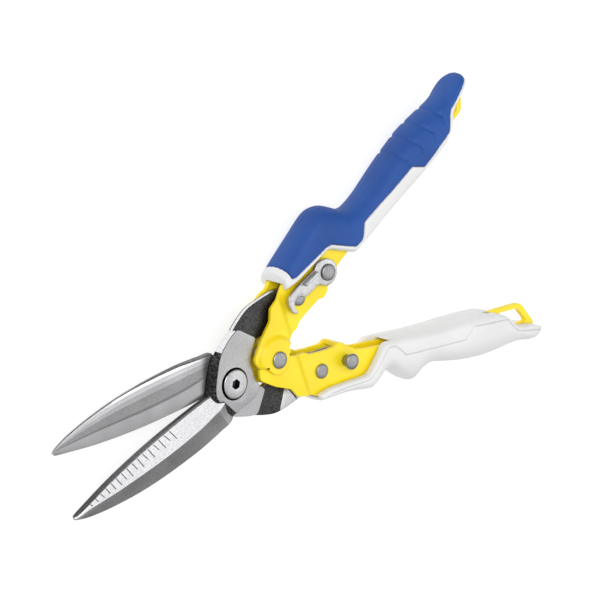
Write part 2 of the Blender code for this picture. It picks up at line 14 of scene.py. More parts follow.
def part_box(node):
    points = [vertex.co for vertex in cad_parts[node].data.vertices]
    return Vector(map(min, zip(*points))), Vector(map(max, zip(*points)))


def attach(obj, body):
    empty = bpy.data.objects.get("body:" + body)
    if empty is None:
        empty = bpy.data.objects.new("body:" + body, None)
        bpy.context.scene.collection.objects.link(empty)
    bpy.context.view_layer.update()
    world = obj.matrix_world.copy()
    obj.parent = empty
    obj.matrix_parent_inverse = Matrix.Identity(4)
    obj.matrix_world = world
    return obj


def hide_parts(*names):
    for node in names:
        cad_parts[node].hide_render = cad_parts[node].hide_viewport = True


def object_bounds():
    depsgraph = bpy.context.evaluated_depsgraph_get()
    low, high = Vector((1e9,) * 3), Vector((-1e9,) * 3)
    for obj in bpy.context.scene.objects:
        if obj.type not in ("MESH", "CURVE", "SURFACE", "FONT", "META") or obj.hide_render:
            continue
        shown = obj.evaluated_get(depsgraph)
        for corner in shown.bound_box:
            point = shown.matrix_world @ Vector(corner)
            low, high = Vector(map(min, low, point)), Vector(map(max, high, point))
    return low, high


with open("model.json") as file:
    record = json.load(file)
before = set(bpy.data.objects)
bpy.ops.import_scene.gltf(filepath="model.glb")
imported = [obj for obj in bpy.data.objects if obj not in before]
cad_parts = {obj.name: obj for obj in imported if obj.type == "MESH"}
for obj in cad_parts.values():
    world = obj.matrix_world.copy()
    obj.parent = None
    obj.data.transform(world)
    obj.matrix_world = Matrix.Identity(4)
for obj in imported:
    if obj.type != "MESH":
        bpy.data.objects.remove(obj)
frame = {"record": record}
CAD_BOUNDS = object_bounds()

MM = 0.001
JOINTS = {joint["name"]: joint for joint in frame["record"]["behaviour"]["joints"]}


def joint_point(name):
    place = JOINTS[name]["pos_m"]
    return (place[0] / MM, place[1] / MM)


def box_centre(node):
    low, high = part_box(node)
    return ((low[0] + high[0]) / 2.0 / MM, (low[1] + high[1]) / 2.0 / MM)


LIFT = JOINTS["blade_pivot"]["pos_m"][2] / MM
PIVOT_P = joint_point("upper_link_pivot")
PIVOT_Q = joint_point("handle_pivot")
LATCH_L = joint_point("latch_pivot")
STUD_S = box_centre("latch_stud")

# ---- levels and radii, millimetres, as in the frame ----
SHEAR_GAP = 0.15
BLADE_TOP = 4.4
TANG_TOP = 3.1
WALL_LINES = (0.85, 2.45)
PAD_R = 6.5
REAR_IN = 3.4
SHEET = 1.75
FRONT_STEP = 1.3
JOGGLE = (30.4, 34.4)
EYE_R = 6.0
EYE_STEP = 2.0
DISC_R = 6.9
GRIP_SLOT = 5.45
SKIN = 1.7
GAP = 0.3
LOOP_HALF = 1.4
HOOK_REACH = 18.0
HOOK_ANGLE = 196.7
LATCH_LOW = 6.7
LATCH_HIGH = 8.4
PIVOT_HOLE_R = 4.2
LINK_HOLE_R = 3.1
RIVET_HOLE_R = 2.2
THROAT_R = 3.0

# ---- how the meshes are made ----
SHARP_ANGLE = 35.0
MOULDED_SHARP_ANGLE = 60.0
MOULDED_VOXEL = 0.42
MOULDED_SMOOTHING = 3
MOULDED_MESH_KEPT = 0.3

# ---- outlines, as in the frame ----
BLADE_STATIONS = (
    # x, cutting edge y, top of edge wall y, ridge y, outer edge y, edge wall z, ridge z, outer wall z, crease
    (-3.0, -4.8, -4.8, -5.4, -14.6, 2.2, 4.3, 1.1, 0.30),
    (-5.4, 0.3, 0.3, -4.6, -16.2, 2.2, 4.3, 1.1, 0.44),
    (-10.0, 0.3, 0.2, -6.6, -16.9, 2.2, 4.3, 1.2, 0.43),
    (-14.0, 0.2, 0.1, -7.6, -17.7, 2.2, 4.3, 1.2, 0.40),
    (-23.5, -0.6, -0.7, -9.7, -19.2, 2.1, 4.3, 1.2, 0.35),
    (-40.0, -2.5, -2.8, -11.8, -20.6, 2.1, 4.2, 1.1, 0.34),
    (-55.0, -4.9, -5.4, -12.9, -20.9, 2.1, 4.0, 1.1, 0.37),
    (-70.0, -8.0, -8.8, -13.6, -20.0, 2.1, 3.7, 1.0, 0.42),
    (-82.0, -11.2, -12.2, -13.9, -18.3, 2.1, 3.1, 1.0, 0.46),
    (-89.0, -13.2, -14.1, -14.7, -16.4, 1.7, 2.2, 0.9, 0.60),
    (-90.75, -13.9, -14.3, -14.7, -15.5, 1.3, 1.6, 0.8, 0.62),
)
BLADE_LEAN = 1.6
BOSS_TOP = (
    (-10.3, -0.5), (-9.2, 3.0), (-7.5, 6.2), (-5.7, 9.3), (-3.9, 12.4), (-1.4, 15.1),
    (1.4, 17.0), (5.2, 19.0), (9.1, 20.3), (10.5, 19.3), (16.7, 12.4), (11.9, 6.8),
    (10.3, 3.6), (10.6, 0.3), (10.2, -2.9), (11.5, -6.8), (10.6, -9.1), (8.5, -10.4),
    (4.6, -11.0), (-1.2, -11.3), (-3.4, -12.0), (-7.7, -3.9), (-9.4, -3.6),
)
BOSS_FOOT = (
    (-13.4, -0.4), (-11.6, 2.4), (-9.8, 5.9), (-7.6, 9.4), (-5.0, 12.7), (-1.6, 15.4),
    (1.4, 17.0), (5.2, 19.0), (9.1, 20.3), (10.5, 19.3), (16.7, 12.4), (11.9, 6.8),
    (10.3, 3.6), (10.6, 0.3), (10.2, -2.9), (11.5, -6.8), (10.6, -9.1), (8.5, -10.4),
    (4.6, -11.0), (-1.2, -11.3), (-3.8, -15.0), (-10.6, -7.6), (-12.6, -4.2),
)
TANG_OUTER = ((5.2, 17.6), (9.6, 21.0), (17.4, 24.5), (24.8, 25.1), (34.1, 24.6), (38.6, 22.9))
TANG_INNER = ((35.2, 10.9), (24.0, 10.4), (16.0, 11.2), (9.0, 10.0))
FLANGE_FRONT = (
    (12.2, 0.15), (11.4, 3.4), (11.7, 5.1), (17.5, 10.8), (24.4, 15.8), (26.4, 20.5),
    (28.6, 21.5), (31.0, 22.6), (34.0, 24.1),
)
CHANNEL_OUTER = (
    (36.5, 26.3), (42.0, 27.0), (53.0, 29.3), (61.0, 31.2), (70.0, 30.6), (76.0, 31.2),
    (84.0, 33.2), (92.0, 36.0), (100.0, 38.9), (116.0, 44.2), (131.0, 48.3),
)
CHANNEL_INNER = (
    (131.0, 41.7), (116.0, 36.9), (97.4, 31.5), (80.0, 25.3), (72.0, 22.3), (65.3, 19.8),
    (61.7, 18.0), (57.0, 13.7), (56.5, 12.1), (53.4, 10.5), (51.4, 11.4), (43.7, 9.3),
    (38.6, 7.6), (37.1, 5.9), (32.4, 4.6), (30.1, 3.4),
)
STOP_TAB = ((53.4, 10.62), (56.35, 12.15), (55.7, 13.5), (52.7, 11.9))
INNER_PATH = (
    (35.6, 24.6), (41.8, 24.8), (47.0, 25.9), (53.0, 27.3), (58.0, 28.6), (61.5, 29.0),
    (65.0, 27.0), (69.0, 24.4), (73.5, 21.6), (78.0, 22.7), (84.0, 24.7), (91.0, 27.3),
    (97.4, 29.5), (105.0, 31.8), (112.0, 33.7), (120.0, 36.1), (127.0, 38.3), (132.0, 40.3),
    (136.3, 44.0), (138.7, 49.0), (142.5, 52.0), (147.2, 54.0), (150.8, 56.2),
)
UPPER_PATH = (
    (36.8, 30.6), (42.6, 34.6), (48.2, 37.8), (54.3, 41.1), (59.7, 44.0), (64.0, 45.5),
    (68.4, 44.7), (72.4, 42.0), (76.0, 39.0), (80.5, 37.6), (84.8, 38.0), (90.6, 39.8),
    (96.9, 42.7), (104.4, 46.5), (111.9, 49.8), (120.3, 53.1), (128.7, 54.9), (136.2, 56.2),
    (141.7, 57.5), (146.1, 59.3), (149.6, 61.0), (152.6, 61.0), (153.9, 59.6),
)
LOWER_PATH = (
    (36.8, 28.9), (42.0, 30.5), (47.0, 31.6), (53.0, 33.6), (58.6, 36.0), (62.8, 37.5),
    (67.0, 36.4), (71.0, 34.6), (75.5, 35.4), (79.0, 41.2), (84.5, 46.0), (90.0, 44.0),
    (95.8, 44.0), (103.2, 47.7), (110.8, 51.3), (119.2, 54.4), (127.8, 56.4), (135.8, 57.7),
    (141.3, 59.1), (146.0, 61.1), (149.6, 61.9), (152.6, 61.0), (153.9, 59.2),
)
GRIP_HALF = (
    8.3, 8.4, 8.5, 8.6, 8.7, 8.8, 9.0, 9.0, 9.0, 9.0, 9.1, 9.3,
    9.6, 9.8, 9.8, 9.7, 9.4, 9.0, 8.6, 8.2, 7.6, 6.6, 5.4,
)
GRIP_SECTION = (
    (0.00, 0.80), (0.05, 0.93), (0.14, 1.00), (0.45, 1.00),
    (0.65, 0.93), (0.82, 0.76), (0.94, 0.48), (1.00, 0.16),
)
PARTING = (
    (39.2, 48.0), (39.5, 27.7), (41.8, 27.2), (53.0, 29.6), (60.0, 31.3), (63.0, 31.0), (71.4, 25.6),
    (74.3, 23.9), (78.0, 24.9), (81.6, 31.2), (111.6, 40.8), (117.5, 37.6), (135.0, 44.2),
    (137.4, 49.6), (139.0, 52.0), (146.3, 55.9), (158.0, 62.0),
)
SLOT_FLOOR = ((131.9, 41.4), (116.0, 36.3), (97.4, 30.9), (79.4, 24.5), (77.0, 5.0), (30.0, 5.0))
GRIP_GROOVES = (((101.6, 51.6), (112.1, 42.0)), ((109.8, 54.7), (120.7, 44.2)),
                ((117.6, 56.8), (128.6, 46.3)), ((126.9, 58.7), (135.6, 49.8)))
LOOP_OUTLINE = (
    (132.6, 40.6), (146.5, 44.6), (148.2, 45.4), (149.1, 46.8), (152.0, 55.4), (151.6, 56.8),
    (150.4, 57.4), (144.0, 56.0), (136.0, 52.0), (133.0, 49.0),
)
LOOP_HOLE = ((136.6, 43.4), (146.4, 46.6), (148.9, 53.8), (144.5, 53.2), (139.4, 49.8))
LATCH_OUTLINE = (
    (62.2, 20.7), (61.2, 18.0), (58.6, 16.1), (55.7, 15.8), (53.4, 17.1), (51.0, 19.1),
    (48.3, 18.3), (45.2, 17.6),
)
LATCH_FAR = (
    (36.4, 13.2), (34.9, 14.3), (34.0, 18.1), (34.4, 19.9), (35.7, 21.4), (39.7, 23.0),
    (43.7, 24.0), (51.7, 25.6), (53.0, 27.0), (55.1, 27.6), (58.1, 27.1), (59.9, 26.1), (61.7, 24.0),
)
VIEW_ANGLES = (41.8, -14.64, 49.9)
VIEW_AIM = (45.7, 13.0)
VIEW_DISTANCE = 6.0
VIEW_WIDTH = 0.2424
RULER_PITCH = 3.175
RULER_MARKS = 16


# ---- mesh helpers ----
def smooth_line(points, steps):
    """A Catmull-Rom line through the points; works on tuples of any length."""
    count = len(points)
    made = []
    for index in range(count - 1):
        a, b = points[max(index - 1, 0)], points[index]
        c, d = points[index + 1], points[min(index + 2, count - 1)]
        for step in range(steps):
            t = step / steps
            made.append(tuple(
                0.5 * (2 * q + (r - p) * t + (2 * p - 5 * q + 4 * r - s) * t * t
                       + (3 * q - p - 3 * r + s) * t * t * t)
                for p, q, r, s in zip(a, b, c, d)))
    made.append(tuple(points[-1]))
    return made


def round_corners(points, radius, steps=5):
    """The closed outline with each corner turned into a short arc."""
    made = []
    count = len(points)
    for index in range(count):
        here = Vector(points[index])
        back = Vector(points[index - 1]) - here
        on = Vector(points[(index + 1) % count]) - here
        reach = min(radius, back.length * 0.45, on.length * 0.45)
        start = here + back.normalized() * reach
        end = here + on.normalized() * reach
        for step in range(steps + 1):
            t = step / steps
            spot = start.lerp(here, t).lerp(here.lerp(end, t), t)
            made.append((spot.x, spot.y))
    return made


def arc(centre, radius, start, end, steps):
    turns = (math.radians(start + (end - start) * index / steps) for index in range(steps + 1))
    return [(centre[0] + radius * math.cos(turn), centre[1] + radius * math.sin(turn)) for turn in turns]


def offset_line(points, distance, closed=False):
    """Move a line sideways, to the left of its direction for a positive distance."""
    moved = []
    count = len(points)
    for index, point in enumerate(points):
        before = points[index - 1] if closed or index else point
        after = points[(index + 1) % count] if closed or index < count - 1 else point
        first = Vector((point[0] - before[0], point[1] - before[1]))
        second = Vector((after[0] - point[0], after[1] - point[1]))
        first = first.normalized() if first.length > 1e-6 else second.normalized()
        second = second.normalized() if second.length > 1e-6 else first
        middle = (first + second).normalized()
        stretch = distance / max(0.5, middle.dot(first))
        moved.append((point[0] - middle.y * stretch, point[1] + middle.x * stretch))
    return moved


def signed_area(points):
    total = 0.0
    for index, point in enumerate(points):
        before = points[index - 1]
        total += before[0] * point[1] - point[0] * before[1]
    return total / 2.0


def join_rings(shape, rings):
    """Bridge a row of rings of equal count into one closed body."""
    made = [[shape.verts.new(point) for point in ring] for ring in rings]
    count = len(made[0])
    for low, high in zip(made, made[1:]):
        for index in range(count):
            after = (index + 1) % count
            shape.faces.new((low[index], low[after], high[after], high[index]))
    shape.faces.new(made[0][::-1])
    shape.faces.new(made[-1])


def face_outward(shape):
    """Split the large faces and turn every face outward."""
    bmesh.ops.triangulate(shape, faces=[face for face in shape.faces if len(face.verts) > 4])
    bmesh.ops.recalc_face_normals(shape, faces=shape.faces)
    return shape


def rounded_prism(outline, bottom, top, edge, steps=3):
    """A plate with rounded upper and lower rims."""
    points = list(outline)
    if signed_area(points) < 0.0:
        points.reverse()
    rings = []
    for side in (-1.0, 1.0):
        level = []
        for step in range(steps + 1):
            turn = math.pi / 2.0 * step / steps
            inset = edge * (1.0 - math.cos(turn))
            rim = top - edge if side > 0 else bottom + edge
            height = rim + side * edge * math.sin(turn)
            moved = offset_line(points, inset, closed=True)
            level.append([(x, y, height) for x, y in moved])
        rings += level[::-1] if side < 0 else level
    shape = bmesh.new()
    join_rings(shape, rings)
    return face_outward(shape)


def turned(profile, centre, sides=64):
    """A body of revolution; profile runs from bottom to top as (radius, z)."""
    shape = bmesh.new()
    rings = []
    for radius, height in profile:
        rings.append([
            (centre[0] + radius * math.cos(2 * math.pi * index / sides),
             centre[1] + radius * math.sin(2 * math.pi * index / sides), height)
            for index in range(sides)])
    join_rings(shape, rings)
    bmesh.ops.recalc_face_normals(shape, faces=shape.faces)
    return shape


def cut_edges(shape, place, normal):
    """Cut extra edges through a body along one plane."""
    whole = list(shape.verts) + list(shape.edges) + list(shape.faces)
    bmesh.ops.bisect_plane(shape, geom=whole, dist=1e-5, plane_co=place, plane_no=normal)


def slice_grid(shape, low, high, step, axis):
    """Cut extra edges through a body at even spacings along X or Y, so it can be formed smoothly."""
    normal = (1.0, 0.0, 0.0) if axis == 0 else (0.0, 1.0, 0.0)
    count = int(round((high - low) / step))
    for index in range(count + 1):
        place = [0.0, 0.0, 0.0]
        place[axis] = low + (high - low) * index / count
        cut_edges(shape, place, normal)


def flip_side(shape):
    """Turn a body over onto the other side of the tool."""
    bmesh.ops.transform(shape, matrix=Matrix.Rotation(math.pi, 4, "X"), verts=shape.verts)
    return shape


def mirror_z(shape):
    bmesh.ops.transform(shape, matrix=Matrix.Scale(-1.0, 4, (0.0, 0.0, 1.0)), verts=shape.verts)
    bmesh.ops.reverse_faces(shape, faces=shape.faces)
    return shape


def piece(name, shape, materials):
    """Link a bmesh in millimetres as an object in the row frame."""
    bmesh.ops.scale(shape, vec=(MM, MM, MM), verts=shape.verts)
    bmesh.ops.translate(shape, vec=(0.0, 0.0, LIFT * MM), verts=shape.verts)
    mesh = bpy.data.meshes.new(name)
    shape.to_mesh(mesh)
    shape.free()
    made = bpy.data.objects.new(name, mesh)
    bpy.context.scene.collection.objects.link(made)
    for item in materials:
        mesh.materials.append(item)
    mesh.shade_smooth()
    mesh.set_sharp_from_angle(angle=math.radians(SHARP_ANGLE))
    return made


def settle(made, angle=SHARP_ANGLE):
    """Apply an object's modifiers and drop them."""
    graph = bpy.context.evaluated_depsgraph_get()
    mesh = bpy.data.meshes.new_from_object(made.evaluated_get(graph), depsgraph=graph)
    mesh.name = made.name
    made.modifiers.clear()
    made.data = mesh
    mesh.shade_smooth()
    mesh.set_sharp_from_angle(angle=math.radians(angle))
    return made


def combine(target, tool, operation):
    """Boolean two objects, keep the result and remove the tool."""
    step = target.modifiers.new("join", "BOOLEAN")
    step.operation = operation
    step.solver = "MANIFOLD"
    step.object = tool
    settle(target)
    bpy.data.objects.remove(tool, do_unlink=True)
    return target


def soften(made, press=None):
    """Round a moulded piece's edges: even remesh, smoothing, any pressed detail and a lighter mesh."""
    remesh = made.modifiers.new("remesh", "REMESH")
    remesh.mode = "VOXEL"
    remesh.voxel_size = MOULDED_VOXEL * MM
    smooth = made.modifiers.new("smooth", "SMOOTH")
    smooth.factor = 0.5
    smooth.iterations = MOULDED_SMOOTHING
    settle(made, MOULDED_SHARP_ANGLE)
    if press is not None:
        press(made)
    light = made.modifiers.new("lighter", "DECIMATE")
    light.ratio = MOULDED_MESH_KEPT
    return settle(made, MOULDED_SHARP_ANGLE)


def finish_piece(made, body, slot, *nodes):
    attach(made, body)
    if nodes:
        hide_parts(*nodes)
    return made


# ---- procedural materials ----
class Look:
    """A Principled material with object-space texture nodes."""

    def __init__(self, name, colour, metallic, roughness):
        self.made = bpy.data.materials.new(name)
        self.made.use_nodes = True
        self.tree = self.made.node_tree
        self.shader = self.tree.nodes["Principled BSDF"]
        self.shader.inputs["Base Color"].default_value = (*colour, 1.0)
        self.shader.inputs["Metallic"].default_value = metallic
        self.shader.inputs["Roughness"].default_value = roughness
        self.made.diffuse_color = (*colour, 1.0)
        self.coords = self.tree.nodes.new("ShaderNodeTexCoord")

    def link(self, out, into):
        self.tree.links.new(out, into)

    def noise(self, scale, detail):
        node = self.tree.nodes.new("ShaderNodeTexNoise")
        node.inputs["Scale"].default_value = scale
        node.inputs["Detail"].default_value = detail
        self.link(self.coords.outputs["Object"], node.inputs["Vector"])
        return node.outputs["Fac"]

    def ramp(self, factor, low, high, start=0.3, end=0.7):
        node = self.tree.nodes.new("ShaderNodeValToRGB")
        node.color_ramp.elements[0].position = start
        node.color_ramp.elements[1].position = end
        node.color_ramp.elements[0].color = (*low, 1.0)
        node.color_ramp.elements[1].color = (*high, 1.0)
        self.link(factor, node.inputs["Fac"])
        return node.outputs["Color"]

    def number(self, factor, low, high, start=0.3, end=0.7):
        node = self.tree.nodes.new("ShaderNodeMapRange")
        node.inputs["From Min"].default_value = start
        node.inputs["From Max"].default_value = end
        node.inputs["To Min"].default_value = low
        node.inputs["To Max"].default_value = high
        self.link(factor, node.inputs["Value"])
        return node.outputs["Result"]

    def bump(self, height, strength, distance):
        node = self.tree.nodes.new("ShaderNodeBump")
        node.inputs["Strength"].default_value = strength
        node.inputs["Distance"].default_value = distance
        self.link(height, node.inputs["Height"])
        self.link(node.outputs["Normal"], self.shader.inputs["Normal"])

    def colour(self, value):
        self.link(value, self.shader.inputs["Base Color"])

    def rough(self, value):
        self.link(value, self.shader.inputs["Roughness"])


def steel_look(name, dark, light, rough_low, rough_high, grain, bump=0.25, metallic=1.0):
    look = Look(name, light, metallic, rough_high)
    speckle = look.noise(grain, 6.0)
    cloud = look.noise(90.0, 3.0)
    base = look.ramp(speckle, dark, light, 0.34, 0.62)
    look.colour(base)
    look.rough(look.number(cloud, rough_low, rough_high))
    look.bump(speckle, bump, 0.00005)
    return look.made


def paint_look(name, dark, light, rough):
    look = Look(name, light, 0.0, rough)
    look.shader.inputs["Coat Weight"].default_value = 0.18
    look.shader.inputs["Coat Roughness"].default_value = 0.25
    cloud = look.noise(60.0, 3.0)
    look.colour(look.ramp(cloud, dark, light))
    peel = look.noise(1400.0, 2.0)
    look.rough(look.number(peel, rough - 0.06, rough + 0.08))
    look.bump(peel, 0.12, 0.00008)
    return look.made


def moulded_look(name, dark, light, rough):
    look = Look(name, light, 0.0, rough)
    cloud = look.noise(45.0, 4.0)
    look.colour(look.ramp(cloud, dark, light))
    texture = look.noise(2600.0, 3.0)
    look.rough(look.number(texture, rough - 0.08, rough + 0.08))
    look.bump(texture, 0.3, 0.00006)
    return look.made


def make_looks():
    grey = (
        # name, darkest, lightest, smoothest, roughest, grain, bump
        ("boss", 0.38, 0.48, 0.40, 0.52, 1500.0, 0.20),
        ("ruler", 0.66, 0.84, 0.42, 0.55, 1300.0, 0.22),
        ("bevel", 0.30, 0.50, 0.36, 0.48, 2600.0, 0.18),
        ("land", 0.28, 0.35, 0.30, 0.42, 2600.0, 0.08),
        # wall is the cutting-edge wall's look; it also paints shade on the pivot screw's socket floor
        ("wall", 0.10, 0.22, 0.35, 0.48, 1800.0, 0.15),
        # rim is a painted highlight: the bright look laid along the ridge, the hollow's outer edge, the
        # boss's up-facing rim and the up-facing bevel faces at the root
        ("rim", 0.80, 0.95, 0.22, 0.34, 1500.0, 0.05),
        # the next four looks are painted shade, stepping from light to dark across the ground hollow toward
        # its crease; the second also paints shade on the rear blade's boss face
        ("painted_shade_1", 0.46, 0.56, 0.28, 0.38, 2600.0, 0.08),
        ("painted_shade_2", 0.30, 0.38, 0.28, 0.38, 2600.0, 0.10),
        ("painted_shade_3", 0.19, 0.26, 0.28, 0.38, 2600.0, 0.12),
        ("painted_shade_4", 0.13, 0.18, 0.28, 0.38, 2600.0, 0.12),
        # scale is the black forging scale; the same look also paints a black shadow line along the working
        # part's outer corner and shade in the seat round the pivot screw head
        ("scale", 0.006, 0.11, 0.45, 0.65, 1200.0, 0.40),
        ("polish", 0.66, 0.82, 0.16, 0.28, 900.0, 0.04),
        ("tang", 0.035, 0.085, 0.40, 0.55, 1300.0, 0.30),
        ("strip", 0.52, 0.66, 0.30, 0.42, 1500.0, 0.12),
        ("screw", 0.38, 0.47, 0.28, 0.40, 1100.0, 0.10),
        # dark is the black nut's colour; it also paints shade inside the screw socket and round the head's
        # rim
        ("dark", 0.008, 0.03, 0.36, 0.50, 1100.0, 0.20),
        ("zinc", 0.48, 0.64, 0.26, 0.40, 700.0, 0.12),
        ("rivet", 0.30, 0.36, 0.38, 0.50, 1000.0, 0.15),
        ("stamped", 0.46, 0.58, 0.30, 0.42, 1000.0, 0.10),
        ("spring", 0.20, 0.36, 0.26, 0.38, 1200.0, 0.12),
    )
    looks = {}
    for name, dark, light, smooth, rough, grain, bump in grey:
        shades = ((dark, dark, dark * 1.02), (light, light, light * 1.02))
        looks[name] = steel_look(name + "_metal", *shades, smooth, rough, grain, bump)
    looks["yellow"] = paint_look("yellow_powder", (0.93, 0.69, 0.002), (0.98, 0.785, 0.003), 0.45)
    looks["white"] = moulded_look("white_nylon", (0.78, 0.78, 0.785), (0.83, 0.83, 0.83), 0.50)
    looks["blue"] = moulded_look("blue_soft", (0.006, 0.060, 0.29), (0.010, 0.085, 0.37), 0.60)
    shades = ((0.012, 0.012, 0.012), (0.03, 0.03, 0.03))
    looks["ink"] = steel_look("etched_mark", *shades, 0.5, 0.7, 900.0, metallic=0.0)
    return looks


# ---- blades ----
BLADE_LOOKS = ("boss", "ruler", "bevel", "land", "wall", "rim", "painted_shade_1", "painted_shade_2", "painted_shade_3",
               "painted_shade_4", "scale", "polish", "tang", "strip")
# the look of each strip round the working part, from the edge wall over the ridge to the shear land
# the rim strip after it is a painted highlight at the hollow's outer edge, and the four hollow steps paint
# the hollow's shade, darkening toward the crease
# the rim strip after the ruler is a painted highlight along the ridge; the scale strip after the bevel is a
# painted black shadow line at the outer corner;
WORKING_STRIPS = ("wall",) * 2 + ("ruler",) * 4 + ("rim",) + ("bevel",) * 7 + (
    "scale", "rim", "painted_shade_1", "painted_shade_2", "painted_shade_3", "painted_shade_3", "painted_shade_4", "land", "land")
# the line across the blade's root, where its ground faces begin and past which up-facing bevel faces take a
# painted highlight: a point and a direction
ROOT_PLACE = (-10.9, -7.3, 0.0)
ROOT_FACING = (8.9, 5.1, 0.0)
# the line across the tang, where its end is ground on the inner side
TANG_PLACE = (21.0, 23.7, 0.0)
TANG_FACING = (1.0, 0.69, 0.0)


def beyond(x, y, place, facing):
    return facing[0] * (x - place[0]) + facing[1] * (y - place[1]) > 0.0


def ruler_point(station, share):
    """A point across the slightly hollow ruler face, from its edge (0) to the ridge (1)."""
    wall_y, ridge_y, edge_z, ridge_z = station[2], station[3], station[5], station[6]
    face_y = wall_y + (ridge_y - wall_y) * 0.10
    sink = 0.15 * min(1.0, abs(ridge_y - wall_y) / 6.0)
    rise = edge_z + 0.12 + (ridge_z - edge_z - 0.12) * share
    return face_y + (ridge_y - face_y) * share, rise - sink * math.sin(math.pi * share)


def blade_section(station):
    """Closed ring across the blade: edge wall, ruler face, ridge, bevel, back wall, hollow, land."""
    x, edge_y, wall_y, ridge_y, outer_y, edge_z, ridge_z, outer_z, crease = station
    low = SHEAR_GAP
    ring = [(x, edge_y, low + 0.02), (x, wall_y, edge_z)]
    ring += [(x, *ruler_point(station, share)) for share in (0.0, 0.25, 0.5, 0.75)]
    soft = min(0.22, abs(ridge_y - wall_y) * 0.12, abs(outer_y - ridge_y) * 0.12)
    ring.append((x, ridge_y + soft, ridge_z - soft * 0.4))
    ring.append((x, ridge_y, ridge_z - soft * 0.1))
    ring.append((x, ridge_y - soft, ridge_z - soft * 0.5))
    for share in (0.25, 0.5, 0.75):
        y = ridge_y + (outer_y - ridge_y) * share
        sink = 0.22 * math.sin(math.pi * share) * min(1.0, ridge_z / 4.0)
        ring.append((x, y, ridge_z + (outer_z - ridge_z) * share - sink))
    width = abs(outer_y - edge_y)
    tuck = min(0.85 * min(1.0, max(0.0, (x + 55.0) / 40.0)) + 0.06, width * 0.06)
    # line is the width of the corner face that takes the painted black shadow line
    line = min(0.3, width * 0.04)
    ring.append((x, outer_y + 0.08, outer_z))
    ring.append((x, outer_y, outer_z - 0.15))
    ring.append((x, outer_y + tuck, low + 0.16))
    start_y = outer_y + tuck + line
    ring.append((x, start_y, low))
    crease_y = edge_y + (outer_y - edge_y) * crease
    depth = 0.26 * min(1.0, abs(start_y - crease_y) / 8.0)
    for share in (0.12, 0.3, 0.5, 0.7, 0.9):
        y = start_y + (crease_y - start_y) * share
        ring.append((x, y, low + depth * math.sin(math.pi * min(1.0, share * 0.96 + 0.04)) ** 0.8))
    ring.append((x, crease_y, low))
    ring.append((x, edge_y - min(0.15, width * 0.02), low))
    return ring


def build_blade_form(lean):
    """The working part, with one material index for each strip round it: its ground surfaces, painted
    highlights and painted shade steps.
    """
    rings = [blade_section(station) for station in smooth_line(BLADE_STATIONS, 8)]
    shape = bmesh.new()
    join_rings(shape, rings)
    shape.faces.ensure_lookup_table()
    count = len(rings[0])
    for number, face in enumerate(shape.faces):
        at_end = number >= count * (len(rings) - 1)
        strip = "bevel" if at_end else WORKING_STRIPS[number % count]
        face.material_index = BLADE_LOOKS.index(strip)
    face_outward(shape)
    cut_edges(shape, ROOT_PLACE, ROOT_FACING)
    bmesh.ops.transform(shape, matrix=Matrix.Rotation(math.radians(lean), 4, "Z"), verts=shape.verts)
    return shape


def boss_form():
    """The boss with its flared flank toward the working part and a softened upper rim."""
    foot = round_corners(BOSS_FOOT, 1.2, 4)
    top = round_corners(BOSS_TOP, 1.2, 4)
    foot.reverse()
    top.reverse()
    edge = 0.3
    base = offset_line(foot, 0.15, closed=True)
    rings = [[(x, y, SHEAR_GAP) for x, y in base], [(x, y, SHEAR_GAP + 0.2) for x, y in foot]]
    for step in range(4):
        turn = math.pi / 2.0 * step / 3
        height = BLADE_TOP - edge + edge * math.sin(turn)
        share = (height - SHEAR_GAP) / (BLADE_TOP - SHEAR_GAP)
        level = [(a[0] + (b[0] - a[0]) * share, a[1] + (b[1] - a[1]) * share) for a, b in zip(foot, top)]
        level = offset_line(level, edge * (1.0 - math.cos(turn)), closed=True)
        rings.append([(x, y, height) for x, y in level])
    shape = bmesh.new()
    join_rings(shape, rings)
    return face_outward(shape)


def tang_form():
    """The tang out to its link, cut through where its ground end begins."""
    end = arc(PIVOT_P, PAD_R, 118.0, -108.0, 30)
    outline = smooth_line(TANG_OUTER, 6) + end + list(TANG_INNER)
    shape = rounded_prism(outline, SHEAR_GAP + 0.03, TANG_TOP, 0.3)
    cut_edges(shape, TANG_PLACE, TANG_FACING)
    for height in WALL_LINES:
        cut_edges(shape, (0.0, 0.0, height), (0.0, 0.0, 1.0))
    return shape


def forging_look(x, y, z, up):
    """Which look a face of the boss or tang takes, from its place and its slope."""
    if up > 0.93:
        return "boss" if z > 3.9 else "tang"
    if up < -0.93:
        # boss faces lying on the shear plane take the second painted shade step, as shade on the rear blade's
        # boss where it lies under the front blade
        if z < SHEAR_GAP + 0.02:
            return "painted_shade_2"
        return "strip" if beyond(x, y, TANG_PLACE, TANG_FACING) and y > 17.0 else "tang"
    # the walls of the screw seat are painted black as shade in the gap round the screw head; the flank below
    # the boss is black scale
    in_seat = math.hypot(x, y) < 7.0
    on_flank = x < 2.0 and y < 15.3
    if in_seat or on_flank:
        return "scale"
    if y > 14.0 and x < 36.0:
        return "polish" if WALL_LINES[0] < z < WALL_LINES[1] and abs(up) < 0.3 else "scale"
    # other up-facing rim faces are painted bright as a highlight along the boss's edge
    return "rim" if up > 0.2 else "boss"


def sort_grounds(blade, flipped):
    """Give the faces of the boss and tang their own ground, black or polished look, with the painted
    highlights and painted shade that forging_look picks, and paint a highlight on the up-facing bevel faces
    at the blade's root.
    """
    side = -1.0 if flipped else 1.0
    turn = math.radians(BLADE_LEAN)
    unsorted, bevel, rim = (BLADE_LOOKS.index(look) for look in ("boss", "bevel", "rim"))
    for face in blade.data.polygons:
        x, y = face.center.x / MM, side * face.center.y / MM
        z = side * (face.center.z / MM - LIFT)
        up = side * face.normal.z
        if face.material_index == unsorted:
            face.material_index = BLADE_LOOKS.index(forging_look(x, y, z, up))
        # up-facing bevel faces past the root line take the rim look, a painted highlight on the root facet
        elif face.material_index == bevel and up > 0.5:
            level_x = x * math.cos(turn) - y * math.sin(turn)
            level_y = x * math.sin(turn) + y * math.cos(turn)
            if beyond(level_x, level_y, ROOT_PLACE, ROOT_FACING):
                face.material_index = rim


